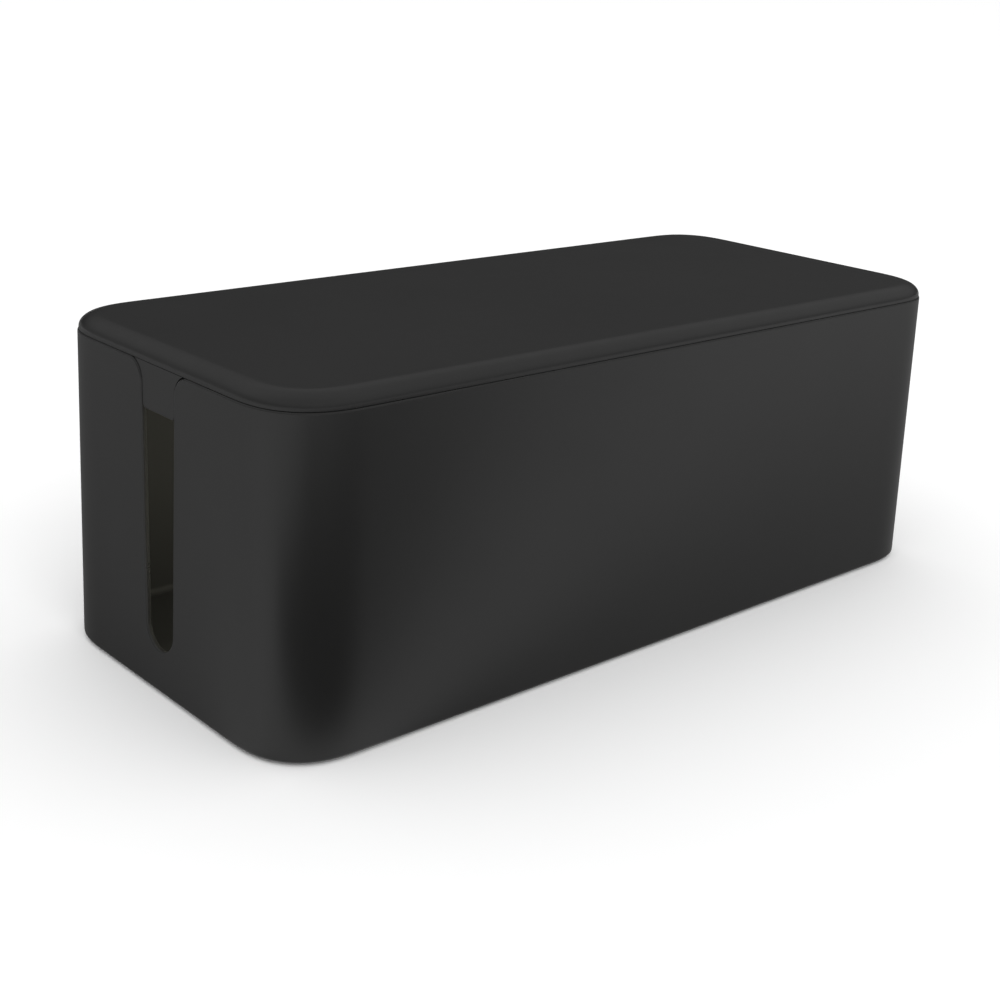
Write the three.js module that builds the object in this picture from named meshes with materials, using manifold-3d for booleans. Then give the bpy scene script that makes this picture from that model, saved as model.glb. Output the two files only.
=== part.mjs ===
// A cable management box: an open-top plastic box that hides a power strip and its leads,
// with a cable slot in each end wall, a lid that lifts straight off, and four rubber feet.
//
// Frame: millimetres, +Z up. The origin is on the surface the box stands on, under its centre.
// +X runs along the box's length, from one cable slot to the other, and +Y across its width.

import * as THREE from 'three';
import { mergeVertices } from 'three/addons/utils/BufferGeometryUtils.js';
import Module from 'manifold-3d';

const wasm = await Module();
wasm.setup();

// Driving dimensions.
const LENGTH = 400;
const WIDTH = 176;
const HEIGHT = 145;
const CORNER_RADIUS = 30;
const WALL = 2.4;

// Feet: round pads that sit in shallow recesses and stand proud of the underside.
const FOOT_DIAMETER = 14;
const FOOT_PROUD = 1;
const FOOT_EDGE = 0.4;
const RECESS_DEPTH = 1.2;
const RECESS_CLEARANCE = 0.3;
const FOOT_INSET = 26;

// Box: a floor, straight walls, and a small radius on the base edge and on the rim.
const FLOOR_THICKNESS = 2.8;
const BASE_EDGE_RADIUS = 2;
const RIM_EDGE_RADIUS = 0.9;
const FLOOR_FILLET = 3;

// Cable slots: a round bottom, sides that spread a little towards the open rim, and corners
// that flare outward there.
const SLOT_BOTTOM = 20;
const SLOT_RADIUS = 10;
const SLOT_DRAFT = THREE.MathUtils.degToRad(1.4);
const FLARE_RADIUS = 9;

// Lid: a flat top with a soft, wide edge, a lip that locates it inside the walls, and an end
// tab that closes the top of each slot.
const LID_HEIGHT = 6.2;
const LID_INSET = 0.5;
const LID_EDGE_REACH = 9;
const LID_EDGE_DROP = 5.5;
const LID_LOWER_EDGE = 0.3;
const LID_PLATE = 2.4;
const PARTING_GAP = 0.3;
const LIP_CLEARANCE = 0.5;
const LIP_THICKNESS = 1.6;
const LIP_DEPTH = 6;
const POCKET_FILLET = 1;

// End tabs: their sides follow the slot's, and their wings turn outward a little more tightly
// than the slot's flare, which leaves a slim crescent-shaped gap below each wing.
const TAB_DROP = 19;
const TAB_TOP_GAP = 0.3;
const TAB_SIDE_GAP = 0.3;
const TAB_THICKNESS = 2.9;
const TAB_CORNER_RADIUS = 2;
const WING_RADIUS = 8.5;
const WING_TIP = 0.4;

// Levels that follow from them.
const LID_BOTTOM = HEIGHT - LID_HEIGHT;
const RIM_TOP = LID_BOTTOM - PARTING_GAP;
const FLOOR_TOP = FOOT_PROUD + FLOOR_THICKNESS;
const LIP_OFFSET = WALL + LIP_CLEARANCE;
const POCKET_OFFSET = LIP_OFFSET + LIP_THICKNESS;
const LIP_BOTTOM = RIM_TOP - LIP_DEPTH;
const TAB_TOP = RIM_TOP - TAB_TOP_GAP;
const TAB_BOTTOM = RIM_TOP - TAB_DROP;

// How far a cutting solid runs past the faces it cuts, and how finely arcs are divided.
const RUN_PAST = 10;
const ARC_SEGMENTS = 10;
const EDGE_SEGMENTS = 3;
const LID_EDGE_SEGMENTS = 7;

const QUARTER_TURN = Math.PI / 2;

// Turns a geometry into a solid that can be cut and joined.
function solidOf(geometry) {
  geometry.deleteAttribute('normal');
  geometry.deleteAttribute('uv');
  const merged = mergeVertices(geometry, 1e-4);
  const mesh = new wasm.Mesh({
    numProp: 3,
    vertProperties: new Float32Array(merged.attributes.position.array),
    triVerts: new Uint32Array(merged.index.array),
  });
  return new wasm.Manifold(mesh);
}

// Turns a solid back into a geometry.
function geometryOf(solid) {
  const mesh = solid.getMesh();
  const geometry = new THREE.BufferGeometry();
  geometry.setAttribute('position', new THREE.BufferAttribute(mesh.vertProperties, 3));
  geometry.setIndex(new THREE.BufferAttribute(mesh.triVerts, 1));
  geometry.computeVertexNormals();
  return geometry;
}

// The box's plan outline, drawn in by an offset.
function planOutline(offset) {
  const radius = CORNER_RADIUS - offset;
  const x = LENGTH / 2 - CORNER_RADIUS;
  const y = WIDTH / 2 - CORNER_RADIUS;
  const outline = new THREE.Shape();
  outline.absarc(x, -y, radius, -QUARTER_TURN, 0);
  outline.absarc(x, y, radius, 0, QUARTER_TURN);
  outline.absarc(-x, y, radius, QUARTER_TURN, 2 * QUARTER_TURN);
  outline.absarc(-x, -y, radius, 2 * QUARTER_TURN, 3 * QUARTER_TURN);
  outline.closePath();
  return outline;
}

// An upright block on the plan outline, with both of its ends rounded. An edge drops through
// a height and reaches across a width, which is the same unless it is given.
function planBlock(offset, bottom, top, drop, reach = drop, segments = EDGE_SEGMENTS) {
  const geometry = new THREE.ExtrudeGeometry(planOutline(offset), {
    depth: top - bottom - 2 * drop,
    curveSegments: ARC_SEGMENTS,
    bevelThickness: drop,
    bevelSize: reach,
    bevelOffset: -reach,
    bevelSegments: segments,
  });
  geometry.translate(0, 0, bottom + drop);
  return solidOf(geometry);
}

// Extrudes an outline drawn across the width and height, from x = near to x = far.
function crosswiseBlock(outline, near, far) {
  const geometry = new THREE.ExtrudeGeometry(outline, {
    depth: far - near,
    curveSegments: ARC_SEGMENTS,
    bevelEnabled: false,
  });
  const acrossToY = new THREE.Matrix4().makeBasis(
    new THREE.Vector3(0, 1, 0),
    new THREE.Vector3(0, 0, 1),
    new THREE.Vector3(1, 0, 0),
  );
  geometry.applyMatrix4(acrossToY);
  geometry.translate(near, 0, 0);
  return solidOf(geometry);
}

// Mirrors a solid made for the +X end, so that both ends have one.
function bothEnds(solid) {
  return solid.add(solid.mirror([1, 0, 0]));
}

// The distance from the slot's centreline to the centre of a circle at a level, where the
// circle touches the slot's side drawn in by an inset. Its radius is positive towards the
// centreline and negative away from it.
function centreBeside(inset, radius, level) {
  const rise = level - (SLOT_BOTTOM + SLOT_RADIUS);
  return (SLOT_RADIUS - inset - radius + rise * Math.sin(SLOT_DRAFT)) / Math.cos(SLOT_DRAFT);
}

// The opening's outline: a round bottom, spreading sides, and corners that flare at the rim.
function slotOutline() {
  const roundLevel = SLOT_BOTTOM + SLOT_RADIUS;
  const roundStart = 2 * QUARTER_TURN + SLOT_DRAFT;
  const flareLevel = RIM_TOP - FLARE_RADIUS;
  const flareCentre = centreBeside(0, -FLARE_RADIUS, flareLevel);
  const flareStart = 2 * QUARTER_TURN - SLOT_DRAFT;
  const outline = new THREE.Shape();
  outline.absarc(0, roundLevel, SLOT_RADIUS, roundStart, 4 * QUARTER_TURN - SLOT_DRAFT);
  outline.absarc(flareCentre, flareLevel, FLARE_RADIUS, flareStart, QUARTER_TURN, true);
  outline.lineTo(flareCentre, RIM_TOP + RUN_PAST);
  outline.lineTo(-flareCentre, RIM_TOP + RUN_PAST);
  outline.absarc(-flareCentre, flareLevel, FLARE_RADIUS, QUARTER_TURN, SLOT_DRAFT, true);
  outline.closePath();
  return outline;
}

// The tab's outline: small lower corners, sides along the slot's, and wings that end on its
// top edge with a blunt tip.
function tabOutline() {
  const cornerLevel = TAB_BOTTOM + TAB_CORNER_RADIUS;
  const corner = centreBeside(TAB_SIDE_GAP, TAB_CORNER_RADIUS, cornerLevel);
  const sideStart = 2 * QUARTER_TURN + SLOT_DRAFT;
  const sideEnd = 4 * QUARTER_TURN - SLOT_DRAFT;
  const wingLevel = TAB_TOP - WING_RADIUS + WING_TIP;
  const wing = centreBeside(TAB_SIDE_GAP, -WING_RADIUS, wingLevel);
  const wingStart = 2 * QUARTER_TURN - SLOT_DRAFT;
  const wingEnd = Math.asin((WING_RADIUS - WING_TIP) / WING_RADIUS);
  const outline = new THREE.Shape();
  outline.absarc(-corner, cornerLevel, TAB_CORNER_RADIUS, sideStart, 3 * QUARTER_TURN);
  outline.absarc(corner, cornerLevel, TAB_CORNER_RADIUS, 3 * QUARTER_TURN, sideEnd);
  outline.absarc(wing, wingLevel, WING_RADIUS, wingStart, 2 * QUARTER_TURN - wingEnd, true);
  outline.absarc(-wing, wingLevel, WING_RADIUS, wingEnd, SLOT_DRAFT, true);
  outline.closePath();
  return outline;
}

// The four foot positions, as [name, x, y].
function footPlaces() {
  const x = LENGTH / 2 - FOOT_INSET;
  const y = WIDTH / 2 - FOOT_INSET;
  return [
    ['foot_front_left', -x, -y],
    ['foot_front_right', x, -y],
    ['foot_back_left', -x, y],
    ['foot_back_right', x, y],
  ];
}

// A pad turned about its own axis, with its lower edge eased.
function footGeometry() {
  const radius = FOOT_DIAMETER / 2;
  const top = FOOT_PROUD + RECESS_DEPTH - RECESS_CLEARANCE;
  const profile = [
    new THREE.Vector2(0, 0),
    new THREE.Vector2(radius - FOOT_EDGE, 0),
    new THREE.Vector2(radius, FOOT_EDGE),
    new THREE.Vector2(radius, top),
    new THREE.Vector2(0, top),
  ];
  const geometry = new THREE.LatheGeometry(profile, 4 * ARC_SEGMENTS);
  geometry.rotateX(QUARTER_TURN);
  return geometry;
}

// A round pocket in the underside that takes one foot.
function footRecess(x, y) {
  const radius = FOOT_DIAMETER / 2 + RECESS_CLEARANCE;
  const depth = RECESS_DEPTH + FOOT_PROUD;
  const geometry = new THREE.CylinderGeometry(radius, radius, depth, 4 * ARC_SEGMENTS);
  geometry.rotateX(QUARTER_TURN);
  geometry.translate(x, y, depth / 2);
  return solidOf(geometry);
}

function boxGeometry() {
  const lower = planBlock(0, FOOT_PROUD, RIM_TOP + RUN_PAST, BASE_EDGE_RADIUS);
  const upper = planBlock(0, FOOT_PROUD - RUN_PAST, RIM_TOP, RIM_EDGE_RADIUS);
  const inside = planBlock(WALL, FLOOR_TOP, RIM_TOP + RUN_PAST, FLOOR_FILLET);
  const slot = crosswiseBlock(slotOutline(), LENGTH / 2 - RUN_PAST, LENGTH / 2 + RUN_PAST);
  let box = lower.intersect(upper).subtract(inside).subtract(bothEnds(slot));
  for (const [, x, y] of footPlaces()) {
    box = box.subtract(footRecess(x, y));
  }
  return geometryOf(box);
}

function lidGeometry() {
  const lower = planBlock(LID_INSET, LID_BOTTOM, HEIGHT + RUN_PAST, LID_LOWER_EDGE);
  const upperBottom = LID_BOTTOM - RUN_PAST;
  const upper = planBlock(
    LID_INSET, upperBottom, HEIGHT, LID_EDGE_DROP, LID_EDGE_REACH, LID_EDGE_SEGMENTS,
  );
  const lip = planBlock(LIP_OFFSET, LIP_BOTTOM, HEIGHT - LID_PLATE, POCKET_FILLET / 2);
  const pocketBottom = LIP_BOTTOM - RUN_PAST;
  const pocket = planBlock(POCKET_OFFSET, pocketBottom, HEIGHT - LID_PLATE, POCKET_FILLET);
  const tabFace = LENGTH / 2 - LID_INSET;
  const tab = crosswiseBlock(tabOutline(), tabFace - TAB_THICKNESS, tabFace);
  return geometryOf(lower.intersect(upper).add(lip).subtract(pocket).add(bothEnds(tab)));
}

function piece(name, geometry, material) {
  const mesh = new THREE.Mesh(geometry, material);
  mesh.name = name;
  return mesh;
}

const boxPlastic = new THREE.MeshStandardMaterial({ color: 0x2b2b2a, roughness: 0.5, metalness: 0 });
const lidPlastic = new THREE.MeshStandardMaterial({ color: 0x2a2a2a, roughness: 0.5, metalness: 0 });
const footRubber = new THREE.MeshStandardMaterial({ color: 0x1a1a1a, roughness: 0.9, metalness: 0 });

const cableBox = new THREE.Group();
cableBox.add(piece('box_body', boxGeometry(), boxPlastic));
cableBox.add(piece('lid', lidGeometry(), lidPlastic));
for (const [name, x, y] of footPlaces()) {
  const foot = piece(name, footGeometry(), footRubber);
  foot.position.set(x, y, 0);
  cableBox.add(foot);
}

export default cableBox;
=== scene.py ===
import math

import bmesh
import bpy
from mathutils import Matrix, Vector


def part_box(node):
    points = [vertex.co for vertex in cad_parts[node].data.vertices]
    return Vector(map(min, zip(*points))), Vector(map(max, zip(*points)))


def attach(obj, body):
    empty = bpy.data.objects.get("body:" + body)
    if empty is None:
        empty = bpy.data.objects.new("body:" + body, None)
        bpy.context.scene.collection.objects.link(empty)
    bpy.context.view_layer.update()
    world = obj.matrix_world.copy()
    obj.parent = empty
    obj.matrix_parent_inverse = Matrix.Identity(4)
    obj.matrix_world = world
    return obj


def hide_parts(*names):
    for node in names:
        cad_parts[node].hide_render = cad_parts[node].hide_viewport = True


# A satin black cable management box: an open-top box with a cable slot in each end wall, a lid
# that lifts off, and four rubber feet. Everything is in metres, in the frame of the CAD model.

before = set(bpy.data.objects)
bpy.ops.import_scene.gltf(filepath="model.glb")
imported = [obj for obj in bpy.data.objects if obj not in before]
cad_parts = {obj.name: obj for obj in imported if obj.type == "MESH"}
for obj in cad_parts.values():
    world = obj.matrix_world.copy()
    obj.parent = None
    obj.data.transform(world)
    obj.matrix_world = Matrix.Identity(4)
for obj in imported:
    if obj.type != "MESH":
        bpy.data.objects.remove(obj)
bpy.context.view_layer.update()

MM = 0.001

# What the frame gives: the box, the lid and the feet as they stand at rest.
BODY_LOW, BODY_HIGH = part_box("box_body")
LID_LOW, LID_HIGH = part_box("lid")
LENGTH = BODY_HIGH.x - BODY_LOW.x
WIDTH = BODY_HIGH.y - BODY_LOW.y
UNDERSIDE = BODY_LOW.z
RIM_TOP = BODY_HIGH.z
LID_TOP = LID_HIGH.z
LID_INSET = (LENGTH - (LID_HIGH.x - LID_LOW.x)) / 2
TAB_BOTTOM = LID_LOW.z
FEET = ("foot_front_left", "foot_front_right", "foot_back_left", "foot_back_right")

# What the CAD model holds inside those outlines. The gaps round the lid and the tabs are drawn
# finer here, the thin edges are rounded, and the corners bend in and out of the flat walls
# gradually: CORNER_EASE is the share of a corner over which the bend grows, and again fades.
CORNER_RADIUS = 30 * MM
CORNER_EASE = 0.35
WALL = 2.4 * MM
FLOOR_TOP = UNDERSIDE + 2.8 * MM
BASE_EDGE_RADIUS = 2 * MM
RIM_EDGE_RADIUS = 0.9 * MM
FLOOR_FILLET = 3 * MM
SLOT_BOTTOM = 20 * MM
SLOT_RADIUS = 10 * MM
SLOT_DRAFT = math.radians(1.4)
FLARE_RADIUS = 9 * MM
PARTING_GAP = 0.1 * MM
LID_BOTTOM = RIM_TOP + PARTING_GAP
LID_EDGE_REACH = 9 * MM
LID_EDGE_DROP = 5.5 * MM
LID_LOWER_EDGE = 0.15 * MM
LID_UNDERSIDE = LID_TOP - 2.4 * MM
LIP_OUTSIDE = WALL + 0.5 * MM
LIP_INSIDE = LIP_OUTSIDE + 1.6 * MM
LIP_BOTTOM = RIM_TOP - 6 * MM
LIP_EDGE_RADIUS = 0.5 * MM
POCKET_FILLET = 1 * MM
TAB_TOP = RIM_TOP - 0.3 * MM
TAB_SIDE_GAP = 0.15 * MM
TAB_FRONT = LID_INSET
TAB_BACK = TAB_FRONT + 2.9 * MM
TAB_CORNER_RADIUS = 2 * MM
TAB_EDGE_RADIUS = 0.3 * MM
WING_RADIUS = 8.6 * MM
WING_TIP = 0.4 * MM
RECESS_RADIUS = 7.3 * MM
RECESS_TOP = UNDERSIDE + 1.2 * MM
RECESS_EDGE = 0.3 * MM
FOOT_EDGE_RADIUS = 0.4 * MM

# How finely curves are divided. A corner is worked out in finer substeps than it is drawn in.
CORNER_STEPS = 28
CURVE_SUBSTEPS = 20
FILLET_STEPS = 8
EDGE_STEPS = 4
LID_EDGE_STEPS = 14
SLOT_STEPS = 24
FLARE_STEPS = 12
ROUND_STEPS = 64

# The camera: turned and raised round the box, and rolled a little.
CAMERA_AZIMUTH = math.radians(-42.08)
CAMERA_ELEVATION = math.radians(14.24)
CAMERA_ROLL = math.radians(2.5)
CAMERA_DISTANCE = 776.9 * MM
CAMERA_SIDE = -11.6 * MM
CAMERA_LIFT = 114.2 * MM
SENSOR_WIDTH = 36
FOCAL_LENGTH = 57.3
CAMERA_SHIFT = -0.15

# The plastic's darkest and lightest tones, its roughness with a slight spread either way, how
# much less rough and how much lighter a worn edge is, and its specular level.
PLASTIC_DARK = (0.008, 0.008, 0.0079)
PLASTIC_LIGHT = (0.010, 0.010, 0.0098)
PLASTIC_ROUGHNESS = 0.34
ROUGHNESS_SPREAD = 0.012
WORN_POLISH = 0.08
WORN_LIGHTENING = 0.3
PLASTIC_SPECULAR = 0.33

# How fine each of the plastic's patterns is, in cells per metre, and the relief of its grain.
WORN_FINENESS = 90
FLOW_FINENESS = 9
CLOUD_FINENESS = 28
GRAIN_FINENESS = 2200
GRAIN_STRENGTH = 0.12
GRAIN_HEIGHT = 0.02 * MM

# The studio: a white room. Reflections see a dim one instead, which is the sum of two parts.
# The first brightens overhead, along a slightly tilted axis. The second brightens towards the
# front left and leaves the horizon dark beyond the back right corner. Each rise is a pair of
# places along its axis, between which the brightness grows.
WHITE_ROOM = 1.06
FLOOR_WHITE = 0.94
FLOOR_HALF_WIDTH = 40
DIM_HORIZON = 0.005
DIM_OVERHEAD = 0.5
DIM_AXIS = (0.06, -0.06, 1.0)
DIM_RISE = (0.13, 0.59)
DIM_SIDES = 0.4
DIM_SIDES_AXIS = (-0.67, -0.74, 0.0)
DIM_SIDES_RISE = (-0.8, -0.2)

# What reflections see in place of the table: a glowing sheet whose brightness is a painted
# reflection on the box's walls. How bright it is in each direction from the box's near corner,
# in degrees from the front towards the left end.
TABLE_GLOW = (
    (-180, 0.22),
    (-154, 0.22),
    (-125, 0.25),
    (-100, 0.30),
    (-84, 0.36),
    (-74, 0.42),
    (-62, 0.88),
    (-45, 0.93),
    (40, 1.00),
    (65, 1.05),
    (105, 1.00),
    (147, 0.44),
    (172, 0.22),
    (180, 0.22),
)
TABLE_REACH = (20 * MM, 3.0)

# How much of that brightness is left right beside the near corner, the distance at which all of
# it is there, and the most that it grows to beyond.
TABLE_NEAR = 0.9
TABLE_FULL_DISTANCE = 0.50
TABLE_FAR = 1.1
TABLE_RINGS = 60
TABLE_SPOKES = 144
TABLE_HEIGHT = 0.5 * MM

# A black patch in that sheet, from the near corner towards the camera, which paints the dark
# reflection down the box's near corner: each edge is a point on it, the way in across it, and
# the width over which it fades.
DARK_PATCH_EDGES = (
    ((-0.385, -0.200), (1.0, 0.0), 0.05),
    ((-0.030, -0.221), (-0.65, -0.76), 0.04),
    ((-0.190, -0.108), (0.0, -1.0), 0.05),
    ((-0.200, -0.510), (0.30, 0.95), 0.03),
)

# A large softbox in front of the box and above it. Reflections don't see it.
FRONT_LIGHT_PLACE = (-1.5, -4.5, 3.5)
FRONT_LIGHT_SIZE = (3, 3)
FRONT_LIGHT_POWER = 80

# Lamps inside the box: name, place, the way it shines, size and power.
INSIDE_LIGHTS = (
    ("inside_light_front", (0, -0.066, 0.06), (0, 1, 0.5), (0.37, 0.05), 0.75),
    ("inside_light_back", (0, 0.066, 0.06), (0, -1, 0.5), (0.37, 0.05), 0.75),
    ("inside_light_top", (0, 0, 0.128), (0, 0, -1), (0.37, 0.06), 0.5),
)
INSIDE_LIGHT_COLOUR = (1.0, 0.97, 0.8)

UP = Vector((0, 0, 1))
QUARTER = math.pi / 2


# ---------------------------------------------------------------- mesh helpers


def steps(start, end, count):
    """count + 1 values from start to end."""
    return [start + (end - start) * i / count for i in range(count + 1)]


def quarter_round(radius, count):
    """(across, along) pairs round a quarter circle, from one tangent to the other."""
    return [
        (radius * (1 - math.cos(a)), radius * (1 - math.sin(a)))
        for a in steps(0, QUARTER, count)
    ]


def worn_between(profile, wear=1.0):
    """Adds a wear value to each pair of a profile: none at its two ends."""
    last = len(profile) - 1
    return [(*pair, 0.0 if i in (0, last) else wear) for i, pair in enumerate(profile)]


class MeshBuilder:
    """Collects rings of points and the faces between them, with a wear value for each point."""

    def __init__(self):
        self.mesh = bmesh.new()
        self.wear = self.mesh.verts.layers.float.new("edge_wear")

    def ring(self, points, wear=0.0):
        made = [self.mesh.verts.new(p) for p in points]
        for vertex in made:
            vertex[self.wear] = wear
        return made

    def bridge(self, lower, upper):
        """Quads between two closed rings of the same length."""
        count = len(lower)
        for i in range(count):
            j = (i + 1) % count
            self.mesh.faces.new((lower[i], lower[j], upper[j], upper[i]))

    def face(self, vertices):
        self.mesh.faces.new(vertices)

    def fill_with_holes(self, outline, holes):
        """Fills a flat outline with triangles, round its holes."""
        edges = []
        for loop in (outline, *holes):
            for i, vertex in enumerate(loop):
                pair = (vertex, loop[(i + 1) % len(loop)])
                edges.append(self.mesh.edges.get(pair) or self.mesh.edges.new(pair))
        bmesh.ops.triangle_fill(self.mesh, use_beauty=True, edges=edges)

    def finish(self, name):
        bmesh.ops.recalc_face_normals(self.mesh, faces=self.mesh.faces)
        for face in self.mesh.faces:
            face.smooth = True
        data = bpy.data.meshes.new(name)
        self.mesh.to_mesh(data)
        self.mesh.free()
        piece = bpy.data.objects.new(name, data)
        bpy.context.scene.collection.objects.link(piece)
        return piece


def weight_normals(piece):
    """Keeps the broad flat faces flat in the shading, next to the small rounded edges."""
    modifier = piece.modifiers.new("weighted_normals", "WEIGHTED_NORMAL")
    modifier.mode = "FACE_AREA"
    modifier.weight = 100
    modifier.keep_sharp = True


class Station:
    """One place on the plan outline: a point at no depth, and the way out of the box there."""

    def __init__(self, anchor, outward):
        self.anchor = Vector(anchor)
        self.outward = Vector(outward)

    def at(self, depth, height):
        """The point at a depth inside the outline, and a height."""
        return self.anchor + self.outward * (CORNER_RADIUS - depth) + UP * height


def corner_curve():
    """A rounded corner as (x, y, turn) about its centre, from +X round to +Y. It bends in and out
    of the flat walls gradually, and passes through the middle of a plain arc."""
    count = CORNER_STEPS * CURVE_SUBSTEPS
    turn, x, y = 0.0, 0.0, 0.0
    path = [(0.0, 0.0, 0.0)]
    for i in range(count):
        share = (i + 0.5) / count
        bend = QUARTER / (1 - CORNER_EASE) * min(share, 1 - share, CORNER_EASE) / CORNER_EASE
        middle = turn + bend / count / 2
        x -= math.sin(middle) / count
        y += math.cos(middle) / count
        turn += bend / count
        path.append((x, y, turn))
    scale = CORNER_RADIUS * (1 - math.sqrt(0.5)) / -path[count // 2][0]
    start = CORNER_RADIUS - scale * y
    return [(CORNER_RADIUS + scale * x, start + scale * y, turn) for x, y, turn in path[::CURVE_SUBSTEPS]]


def corner_stations(sign_x, sign_y, start):
    """The stations round one rounded corner, anticlockwise."""
    centre = Vector((sign_x * (LENGTH / 2 - CORNER_RADIUS), sign_y * (WIDTH / 2 - CORNER_RADIUS), 0))
    face = Matrix.Rotation(start, 3, "Z")
    stations = []
    for x, y, turn in corner_curve():
        outward = face @ Vector((math.cos(turn), math.sin(turn), 0))
        point = centre + face @ Vector((x, y, 0))
        stations.append(Station(point - outward * CORNER_RADIUS, outward))
    return stations


def end_station(end, y):
    """A station on the flat of an end wall: end is 1 at +X and -1 at -X."""
    return Station((end * (LENGTH / 2 - CORNER_RADIUS), y, 0), (end, 0, 0))


def plan_stations(end_places=()):
    """Stations anticlockwise round the plan, from the front right corner. end_places are the
    places across each end wall that need a station of their own."""
    right = [end_station(1, y) for y in end_places]
    left = [end_station(-1, -y) for y in end_places]
    return [
        *corner_stations(1, -1, -QUARTER),
        *right,
        *corner_stations(1, 1, 0),
        *corner_stations(-1, 1, QUARTER),
        *left,
        *corner_stations(-1, -1, 2 * QUARTER),
    ]


# ---------------------------------------------------------------- box body


def centre_beside(inset, radius, level):
    """How far from the slot's centreline the centre of a circle at a level is, where the circle
    touches the slot's side drawn in by an inset. Its radius is positive towards the centreline
    and negative away from it."""
    rise = level - (SLOT_BOTTOM + SLOT_RADIUS)
    return (SLOT_RADIUS - inset - radius + rise * math.sin(SLOT_DRAFT)) / math.cos(SLOT_DRAFT)


def slot_contour():
    """The slot's edge across the +X end wall as (y, z, out_y, out_z), where out points off the
    material. It starts and ends on the rim."""
    flare_level = RIM_TOP - FLARE_RADIUS
    flare_centre = centre_beside(0, -FLARE_RADIUS, flare_level)
    round_level = SLOT_BOTTOM + SLOT_RADIUS
    contour = []
    for a in steps(QUARTER, SLOT_DRAFT, FLARE_STEPS):
        out = Vector((math.cos(a), math.sin(a)))
        contour.append((-flare_centre + FLARE_RADIUS * out.x, flare_level + FLARE_RADIUS * out.y, *out))
    for a in steps(2 * QUARTER + SLOT_DRAFT, 4 * QUARTER - SLOT_DRAFT, SLOT_STEPS):
        out = Vector((math.cos(a), math.sin(a)))
        contour.append((SLOT_RADIUS * out.x, round_level + SLOT_RADIUS * out.y, -out.x, -out.y))
    for a in steps(2 * QUARTER - SLOT_DRAFT, QUARTER, FLARE_STEPS):
        out = Vector((math.cos(a), math.sin(a)))
        contour.append((flare_centre + FLARE_RADIUS * out.x, flare_level + FLARE_RADIUS * out.y, *out))
    return contour


class EdgePoint:
    """One point on the wall's free edge, with the ways out of the box and off the edge."""

    def __init__(self, point, outward, off_edge, station=None):
        self.point = Vector(point)
        self.outward = Vector(outward)
        self.off_edge = Vector(off_edge)
        self.station = station

    def at(self, depth, inset):
        """The point at a depth through the wall, drawn in from the free edge by an inset."""
        return self.point - self.outward * depth - self.off_edge * inset


def free_edge():
    """The wall's free edge, once round the plan: the rim, dipping into the slot at each end."""
    slot = slot_contour()
    rim_end = centre_beside(0, -FLARE_RADIUS, RIM_TOP - FLARE_RADIUS)
    edge = []
    for station in plan_stations((-rim_end, rim_end)):
        edge.append(EdgePoint(station.at(0, RIM_TOP), station.outward, UP, station))
        end = round(station.outward.x)
        at_slot = math.isclose(station.anchor.y, -end * rim_end, abs_tol=1e-6)
        if abs(end) == 1 and at_slot:
            for y, z, out_y, out_z in slot[1:-1]:
                point = (end * LENGTH / 2, end * y, z)
                edge.append(EdgePoint(point, station.outward, (0, end * out_y, out_z)))
    return edge


def wall_edge_profile():
    """(depth, inset, wear) through the wall at its free edge, both corners rounded."""
    outer = quarter_round(RIM_EDGE_RADIUS, EDGE_STEPS)
    inner = [(WALL - across, along) for across, along in reversed(outer)]
    return worn_between(outer + inner)


def sheet_faces(builder, edge, top_ring, base_ring):
    """The wall's broad face between the free edge and a base ring: quads, and one face round
    each slot. base_ring has a vertex for each edge point that has a station."""
    grounded = [i for i, item in enumerate(edge) if item.station]
    for k, i in enumerate(grounded):
        j = grounded[(k + 1) % len(grounded)]
        between = range(j - 1, i, -1) if j > i else ()
        base = (base_ring[k], base_ring[(k + 1) % len(grounded)])
        builder.face((*base, top_ring[j], *(top_ring[m] for m in between), top_ring[i]))


def foot_centre(name):
    low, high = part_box(name)
    return (low + high) / 2


def circle(centre, radius, height):
    return [
        Vector((centre.x + radius * math.cos(a), centre.y + radius * math.sin(a), height))
        for a in steps(0, 4 * QUARTER, ROUND_STEPS)[:-1]
    ]


def add_foot_recess(builder, centre):
    """A round pocket in the underside. Returns its mouth, for the underside to be filled to."""
    mouth = builder.ring(circle(centre, RECESS_RADIUS + RECESS_EDGE, UNDERSIDE))
    eased = builder.ring(circle(centre, RECESS_RADIUS, UNDERSIDE + RECESS_EDGE), wear=1.0)
    top = builder.ring(circle(centre, RECESS_RADIUS, RECESS_TOP))
    builder.bridge(mouth, eased)
    builder.bridge(eased, top)
    builder.face(top)
    return mouth


def make_body():
    builder = MeshBuilder()
    edge = free_edge()
    stations = [item.station for item in edge if item.station]

    rings = [
        builder.ring([item.at(depth, inset) for item in edge], wear)
        for depth, inset, wear in wall_edge_profile()
    ]
    for outer, inner in zip(rings, rings[1:]):
        builder.bridge(outer, inner)

    base = [
        builder.ring([s.at(across, UNDERSIDE + along) for s in stations])
        for across, along in quarter_round(BASE_EDGE_RADIUS, FILLET_STEPS)
    ]
    for upper, lower in zip(base, base[1:]):
        builder.bridge(lower, upper)
    sheet_faces(builder, edge, rings[0], base[0])
    builder.fill_with_holes(base[-1], [add_foot_recess(builder, foot_centre(f)) for f in FEET])

    inside = [
        builder.ring([s.at(WALL + across, FLOOR_TOP + along) for s in stations])
        for across, along in quarter_round(FLOOR_FILLET, FILLET_STEPS)
    ]
    for upper, lower in zip(inside, inside[1:]):
        builder.bridge(upper, lower)
    sheet_faces(builder, edge, rings[-1], inside[0])
    builder.face(inside[-1])

    body = builder.finish("box_shell")
    weight_normals(body)
    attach(body, "box")
    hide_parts("box_body")
    return body


# ---------------------------------------------------------------- lid


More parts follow.
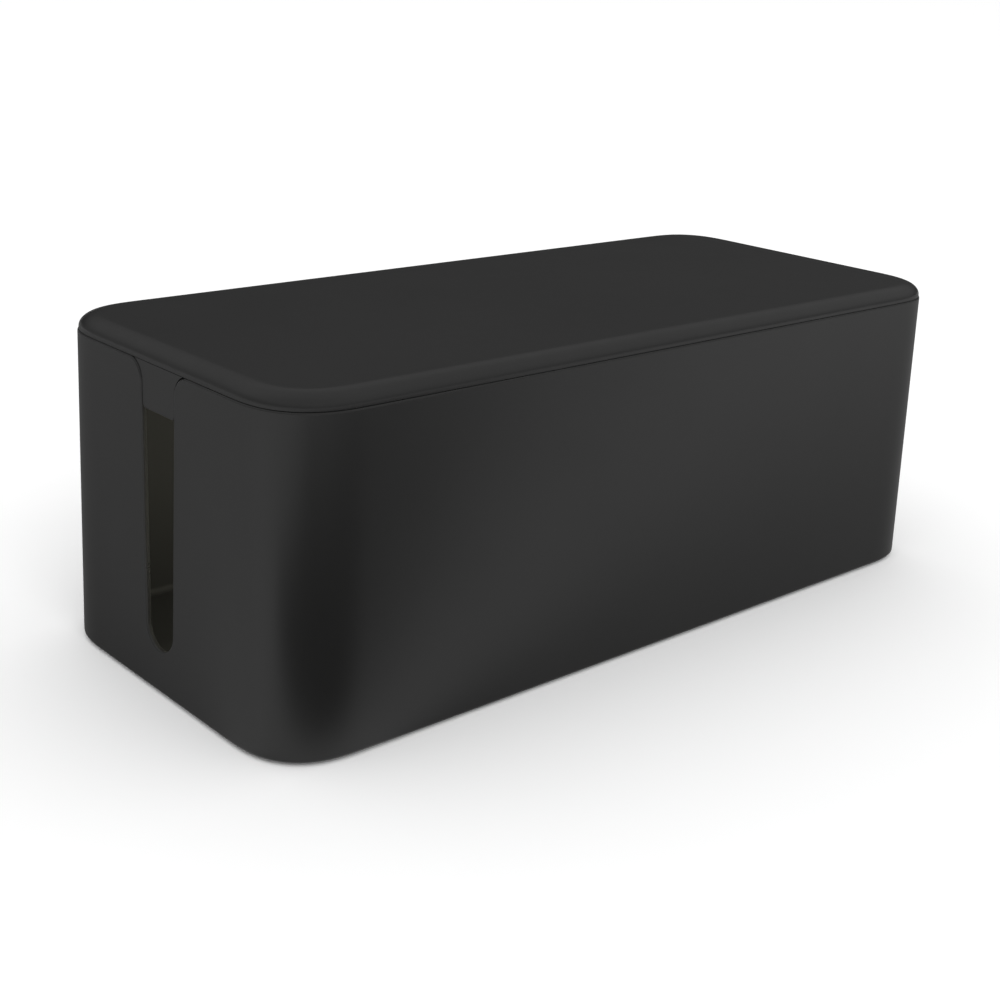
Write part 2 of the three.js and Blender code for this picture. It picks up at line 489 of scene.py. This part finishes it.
def lid_profile():
    """(depth, height, wear) from the edge of the flat top, round the rim and the locating lip,
    to the edge of the ceiling inside."""
    top_edge = [
        (LID_INSET + LID_EDGE_REACH * across, LID_TOP - LID_EDGE_DROP * along)
        for across, along in reversed(quarter_round(1, LID_EDGE_STEPS))
    ]
    lower_edge = [
        (LID_INSET + across, LID_BOTTOM + along)
        for across, along in quarter_round(LID_LOWER_EDGE, EDGE_STEPS)
    ]
    lip_outer = [
        (LIP_OUTSIDE + across, LIP_BOTTOM + along)
        for across, along in quarter_round(LIP_EDGE_RADIUS, EDGE_STEPS)
    ]
    lip_inner = [
        (LIP_INSIDE - across, LIP_BOTTOM + along)
        for across, along in reversed(quarter_round(LIP_EDGE_RADIUS, EDGE_STEPS))
    ]
    ceiling = [
        (LIP_INSIDE + across, LID_UNDERSIDE - along, 0.0)
        for across, along in quarter_round(POCKET_FILLET, EDGE_STEPS)
    ]
    return [
        *worn_between(top_edge, 0.3),
        *worn_between(lower_edge),
        (LIP_OUTSIDE, LID_BOTTOM, 0.0),
        *worn_between(lip_outer + lip_inner),
        *ceiling,
    ]


def tab_contour():
    """The tab's outline across the +X end as (y, z, out_y, out_z), anticlockwise seen from
    outside: lower corners, sides, and wings that follow the slot's flare."""
    corner_z = TAB_BOTTOM + TAB_CORNER_RADIUS
    corner_y = centre_beside(TAB_SIDE_GAP, TAB_CORNER_RADIUS, corner_z)
    wing_z = TAB_TOP - WING_RADIUS + WING_TIP
    wing_y = centre_beside(TAB_SIDE_GAP, -WING_RADIUS, wing_z)
    wing_end = math.asin((WING_RADIUS - WING_TIP) / WING_RADIUS)
    right = []
    for a in steps(3 * QUARTER, 4 * QUARTER - SLOT_DRAFT, EDGE_STEPS):
        out = Vector((math.cos(a), math.sin(a)))
        right.append((corner_y + TAB_CORNER_RADIUS * out.x, corner_z + TAB_CORNER_RADIUS * out.y, *out))
    for a in steps(2 * QUARTER - SLOT_DRAFT, 2 * QUARTER - wing_end, FLARE_STEPS):
        out = Vector((math.cos(a), math.sin(a)))
        right.append((wing_y + WING_RADIUS * out.x, wing_z + WING_RADIUS * out.y, -out.x, -out.y))
    left = [(-y, z, -out_y, out_z) for y, z, out_y, out_z in reversed(right)]
    return right + left


def make_tab(end):
    """One end tab as a closed solid, its outer edges rounded."""
    builder = MeshBuilder()
    outward = Vector((end, 0, 0))
    edge = [
        EdgePoint((end * (LENGTH / 2 - TAB_FRONT), y, z), outward, (0, out_y, out_z))
        for y, z, out_y, out_z in tab_contour()
    ]
    front_edge = quarter_round(TAB_EDGE_RADIUS, EDGE_STEPS)
    rings = [
        builder.ring([item.at(across, along) for item in edge], 0.0 if i == 0 else 1.0)
        for i, (across, along) in enumerate(front_edge)
    ]
    rings.append(builder.ring([item.at(TAB_BACK - TAB_FRONT, 0) for item in edge]))
    for front, back in zip(rings, rings[1:]):
        builder.bridge(front, back)
    builder.face(rings[0])
    builder.face(rings[-1])
    return builder.finish("tab")


def join_solids(target, others):
    """Joins closed solids into the target with exact booleans, and deletes them."""
    for other in others:
        modifier = target.modifiers.new("join", "BOOLEAN")
        modifier.operation = "UNION"
        modifier.solver = "EXACT"
        modifier.object = other
    bpy.context.view_layer.update()
    evaluated = target.evaluated_get(bpy.context.evaluated_depsgraph_get())
    joined = bpy.data.meshes.new_from_object(evaluated)
    target.modifiers.clear()
    target.data = joined
    for other in others:
        bpy.data.objects.remove(other)


def make_lid():
    builder = MeshBuilder()
    stations = plan_stations()
    rings = [
        builder.ring([s.at(depth, height) for s in stations], wear)
        for depth, height, wear in lid_profile()
    ]
    for upper, lower in zip(rings, rings[1:]):
        builder.bridge(lower, upper)
    builder.face(rings[0])
    builder.face(rings[-1])
    lid = builder.finish("lid_shell")
    join_solids(lid, [make_tab(1), make_tab(-1)])
    weight_normals(lid)
    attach(lid, "lid")
    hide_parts("lid")
    return lid


# ---------------------------------------------------------------- feet


def make_foot(name):
    """A rubber pad, turned about its own axis, with a rounded lower edge."""
    low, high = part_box(name)
    centre = (low + high) / 2
    radius = (high.x - low.x) / 2
    builder = MeshBuilder()
    rings = [
        builder.ring(circle(centre, radius - across, low.z + along), 1.0)
        for across, along in reversed(quarter_round(FOOT_EDGE_RADIUS, EDGE_STEPS))
    ]
    rings.append(builder.ring(circle(centre, radius, high.z)))
    for lower, upper in zip(rings, rings[1:]):
        builder.bridge(lower, upper)
    builder.face(rings[0])
    builder.face(rings[-1])
    foot = builder.finish("rubber_" + name)
    weight_normals(foot)
    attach(foot, "box")
    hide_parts(name)
    return foot


# ---------------------------------------------------------------- materials


class NodeMaker:
    """Short calls for building one material's nodes."""

    def __init__(self, name):
        self.material = bpy.data.materials.new(name)
        self.material.use_nodes = True
        self.nodes = self.material.node_tree.nodes
        self.links = self.material.node_tree.links
        self.shader = self.nodes["Principled BSDF"]
        self.place = self.nodes.new("ShaderNodeTexCoord").outputs["Object"]

    def noise(self, scale, detail=2.0, roughness=0.5):
        node = self.nodes.new("ShaderNodeTexNoise")
        node.inputs["Scale"].default_value = scale
        node.inputs["Detail"].default_value = detail
        node.inputs["Roughness"].default_value = roughness
        self.links.new(self.place, node.inputs["Vector"])
        return node.outputs["Fac"]

    def attribute(self, name):
        node = self.nodes.new("ShaderNodeAttribute")
        node.attribute_name = name
        return node.outputs["Fac"]

    def remap(self, value, low, high, from_low, from_high):
        """Stretches the values between from_low and from_high over low to high."""
        node = self.nodes.new("ShaderNodeMapRange")
        node.inputs["From Min"].default_value = from_low
        node.inputs["From Max"].default_value = from_high
        node.inputs["To Min"].default_value = low
        node.inputs["To Max"].default_value = high
        self.links.new(value, node.inputs["Value"])
        return node.outputs["Result"]

    def combine(self, operation, first, second):
        node = self.nodes.new("ShaderNodeMath")
        node.operation = operation
        for socket, value in zip(node.inputs, (first, second)):
            if isinstance(value, (int, float)):
                socket.default_value = value
            else:
                self.links.new(value, socket)
        return node.outputs["Value"]

    def mix_colour(self, share, first, second):
        node = self.nodes.new("ShaderNodeMix")
        node.data_type = "RGBA"
        node.inputs["A"].default_value = (*first, 1)
        node.inputs["B"].default_value = (*second, 1)
        self.links.new(share, node.inputs["Factor"])
        return node.outputs["Result"]

    def bump(self, height, strength, distance):
        node = self.nodes.new("ShaderNodeBump")
        node.inputs["Strength"].default_value = strength
        node.inputs["Distance"].default_value = distance
        self.links.new(height, node.inputs["Height"])
        return node.outputs["Normal"]

    def feed(self, socket, value):
        self.links.new(value, self.shader.inputs[socket])


def satin_plastic(name):
    """Injection-moulded black plastic with a fine spark-eroded grain, faint flow marks, and
    edges that handling has polished a little."""
    m = NodeMaker(name)
    patches = m.remap(m.noise(WORN_FINENESS), 0.0, 1.0, 0.42, 0.7)
    worn = m.combine("MULTIPLY", m.attribute("edge_wear"), patches)

    flow_marks = m.remap(m.noise(FLOW_FINENESS, detail=3), 0.0, 0.7, 0.3, 0.7)
    tone = m.combine("ADD", flow_marks, m.combine("MULTIPLY", worn, WORN_LIGHTENING))
    m.feed("Base Color", m.mix_colour(tone, PLASTIC_DARK, PLASTIC_LIGHT))

    smoothest, roughest = PLASTIC_ROUGHNESS - ROUGHNESS_SPREAD, PLASTIC_ROUGHNESS + ROUGHNESS_SPREAD
    clouds = m.remap(m.noise(CLOUD_FINENESS, detail=4), smoothest, roughest, 0.3, 0.7)
    m.feed("Roughness", m.combine("SUBTRACT", clouds, m.combine("MULTIPLY", worn, WORN_POLISH)))

    grain = m.noise(GRAIN_FINENESS, detail=3, roughness=0.6)
    m.feed("Normal", m.bump(grain, GRAIN_STRENGTH, GRAIN_HEIGHT))
    m.shader.inputs["Specular IOR Level"].default_value = PLASTIC_SPECULAR
    return m.material


def foot_rubber():
    """Matt black rubber with a grainy, slightly dusty surface."""
    m = NodeMaker("foot_rubber")
    dust = m.remap(m.noise(350, detail=4), 0.0, 1.0, 0.35, 0.7)
    m.feed("Base Color", m.mix_colour(dust, (0.009, 0.009, 0.009), (0.022, 0.021, 0.02)))
    m.feed("Roughness", m.remap(m.noise(500), 0.72, 0.9, 0.3, 0.7))
    m.feed("Normal", m.bump(m.noise(1800, detail=3), 0.5, 0.00004))
    m.shader.inputs["Specular IOR Level"].default_value = 0.3
    return m.material


def give(piece, material):
    piece.data.materials.clear()
    piece.data.materials.append(material)


# ---------------------------------------------------------------- studio


def make_floor():
    far = FLOOR_HALF_WIDTH
    data = bpy.data.meshes.new("floor")
    corners = [(-far, -far, 0), (far, -far, 0), (far, far, 0), (-far, far, 0)]
    data.from_pydata(corners, [], [(0, 1, 2, 3)])
    floor = bpy.data.objects.new("floor", data)
    bpy.context.scene.collection.objects.link(floor)
    material = bpy.data.materials.new("pale_floor")
    material.use_nodes = True
    shader = material.node_tree.nodes["Principled BSDF"]
    shader.inputs["Base Color"].default_value = (FLOOR_WHITE, FLOOR_WHITE, FLOOR_WHITE, 1)
    shader.inputs["Roughness"].default_value = 0.9
    shader.inputs["Specular IOR Level"].default_value = 0.0
    data.materials.append(material)


def between_stops(stops, value):
    """The brightness at a value, from a rising list of (value, brightness) stops."""
    for (low, first), (high, second) in zip(stops, stops[1:]):
        if value <= high:
            return first + (second - first) * (value - low) / (high - low)
    return stops[-1][1]


def near_fade(distance):
    """The share of its brightness that the table shows at a distance from the near corner."""
    return min(TABLE_NEAR + (1 - TABLE_NEAR) * distance / TABLE_FULL_DISTANCE, TABLE_FAR)


def dark_patch_cover(place):
    """How far a place on the sheet is covered by the black patch that paints the dark reflection on the
    near corner, from 0 to 1.
    """
    cover = 1.0
    for (x, y), (in_x, in_y), width in DARK_PATCH_EDGES:
        inside = (place.x - x) * in_x + (place.y - y) * in_y
        share = min(max(inside / width + 0.5, 0.0), 1.0)
        cover *= share * share * (3 - 2 * share)
    return cover


def make_table_glow():
    """A glowing sheet on the table that only reflections see, which paints the reflections on the box,
    with its brightness in its vertices.
    """
    mesh = bmesh.new()
    glow = mesh.verts.layers.float.new("glow")
    centre = Vector((-(LENGTH - CORNER_RADIUS) / 2, -(WIDTH - CORNER_RADIUS) / 2, TABLE_HEIGHT))
    inner, outer = TABLE_REACH
    rings = []
    for i in range(TABLE_RINGS + 1):
        ring = []
        for angle in steps(-180, 180, TABLE_SPOKES)[:-1]:
            turn = math.radians(angle)
            out = Vector((-math.sin(turn), -math.cos(turn), 0))
            distance = inner * (outer / inner) ** (i / TABLE_RINGS)
            vertex = mesh.verts.new(centre + out * distance)
            # Painted reflection: the sheet's brightness in each direction, less the black patch that
            # paints the dark reflection on the near corner.
            brightness = between_stops(TABLE_GLOW, angle) * near_fade(distance)
            vertex[glow] = brightness * (1 - dark_patch_cover(vertex.co))
            ring.append(vertex)
        rings.append(ring)
    for lower, upper in zip(rings, rings[1:]):
        for j in range(TABLE_SPOKES):
            k = (j + 1) % TABLE_SPOKES
            mesh.faces.new((lower[j], lower[k], upper[k], upper[j]))
    mesh.faces.new(rings[0])
    data = bpy.data.meshes.new("table_glow")
    mesh.to_mesh(data)
    mesh.free()
    sheet = bpy.data.objects.new("table_glow", data)
    bpy.context.scene.collection.objects.link(sheet)
    m = NodeMaker("table_glow")
    m.feed("Emission Strength", m.attribute("glow"))
    m.shader.inputs["Emission Color"].default_value = (1, 1, 1, 1)
    m.shader.inputs["Base Color"].default_value = (0, 0, 0, 1)
    m.shader.inputs["Specular IOR Level"].default_value = 0.0
    data.materials.append(m.material)
    sheet.visible_camera = False
    sheet.visible_diffuse = False
    sheet.visible_shadow = False


def make_light(name, place, size, power):
    """A rectangular softbox aimed at the origin."""
    light = bpy.data.lights.new(name, "AREA")
    light.shape = "RECTANGLE"
    light.size, light.size_y = size
    light.energy = power
    lamp = bpy.data.objects.new(name, light)
    lamp.location = place
    lamp.rotation_mode = "QUATERNION"
    lamp.rotation_quaternion = (-Vector(place)).to_track_quat("-Z", "Y")
    bpy.context.scene.collection.objects.link(lamp)
    return lamp


def make_inside_lights(box):
    """A faint warm glow on the box's inside faces, which the slots show. It lights nothing else."""
    lit = bpy.data.collections.new("lit_from_inside")
    lit.objects.link(box)
    for name, place, aim, size, power in INSIDE_LIGHTS:
        lamp = make_light(name, place, size, power)
        lamp.rotation_quaternion = Vector(aim).to_track_quat("-Z", "Y")
        lamp.data.color = INSIDE_LIGHT_COLOUR
        lamp.visible_camera = False
        lamp.visible_glossy = False
        lamp.light_linking.receiver_collection = lit


def make_world():
    """White all round for the floor and the background, and a dim room for reflections."""
    world = bpy.data.worlds.new("studio")
    bpy.context.scene.world = world
    world.use_nodes = True
    nodes, links = world.node_tree.nodes, world.node_tree.links
    direction = nodes.new("ShaderNodeTexCoord").outputs["Generated"]

    def ramp_along(axis, rise, low, high):
        along = nodes.new("ShaderNodeVectorMath")
        along.operation = "DOT_PRODUCT"
        along.inputs[1].default_value = axis
        links.new(direction, along.inputs[0])
        ramp = nodes.new("ShaderNodeMapRange")
        ramp.interpolation_type = "SMOOTHSTEP"
        ramp.inputs["From Min"].default_value = rise[0]
        ramp.inputs["From Max"].default_value = rise[1]
        ramp.inputs["To Min"].default_value = low
        ramp.inputs["To Max"].default_value = high
        links.new(along.outputs["Value"], ramp.inputs["Value"])
        return ramp.outputs["Result"]

    total = nodes.new("ShaderNodeMath")
    total.operation = "ADD"
    links.new(ramp_along(DIM_AXIS, DIM_RISE, DIM_HORIZON, DIM_OVERHEAD), total.inputs[0])
    links.new(ramp_along(DIM_SIDES_AXIS, DIM_SIDES_RISE, 0.0, DIM_SIDES), total.inputs[1])
    dim = nodes.new("ShaderNodeBackground")
    links.new(total.outputs["Value"], dim.inputs["Strength"])
    white = nodes["Background"]
    white.inputs["Color"].default_value = (1, 1, 1, 1)
    white.inputs["Strength"].default_value = WHITE_ROOM
    mix = nodes.new("ShaderNodeMixShader")
    rays = nodes.new("ShaderNodeLightPath")
    links.new(rays.outputs["Is Glossy Ray"], mix.inputs["Fac"])
    links.new(white.outputs["Background"], mix.inputs[1])
    links.new(dim.outputs["Background"], mix.inputs[2])
    links.new(mix.outputs["Shader"], nodes["World Output"].inputs["Surface"])


def make_camera():
    azimuth, elevation = CAMERA_AZIMUTH, CAMERA_ELEVATION
    back = Vector((
        math.sin(azimuth) * math.cos(elevation),
        -math.cos(azimuth) * math.cos(elevation),
        math.sin(elevation),
    ))
    level = Vector((math.cos(azimuth), math.sin(azimuth), 0))
    upright = back.cross(level)
    right = level * math.cos(CAMERA_ROLL) + upright * math.sin(CAMERA_ROLL)
    up = upright * math.cos(CAMERA_ROLL) - level * math.sin(CAMERA_ROLL)
    data = bpy.data.cameras.new("camera")
    data.sensor_width = SENSOR_WIDTH
    data.lens = FOCAL_LENGTH
    data.shift_y = CAMERA_SHIFT
    data.clip_start = 0.01
    data.clip_end = 200
    camera = bpy.data.objects.new("camera", data)
    turn = Matrix((right, up, back)).transposed().to_4x4()
    place = back * CAMERA_DISTANCE + right * CAMERA_SIDE + up * CAMERA_LIFT
    camera.matrix_world = Matrix.Translation(place) @ turn
    bpy.context.scene.collection.objects.link(camera)
    bpy.context.scene.camera = camera


def make_studio(box):
    make_camera()
    make_floor()
    make_table_glow()
    make_world()
    bpy.context.scene.view_settings.view_transform = "Standard"
    front = make_light("front_light", FRONT_LIGHT_PLACE, FRONT_LIGHT_SIZE, FRONT_LIGHT_POWER)
    front.visible_glossy = False
    make_inside_lights(box)


body = make_body()
lid = make_lid()
feet = [make_foot(name) for name in FEET]

give(body, satin_plastic("box_plastic"))
give(lid, satin_plastic("lid_plastic"))
rubber = foot_rubber()
for foot in feet:
    give(foot, rubber)

make_studio(body)
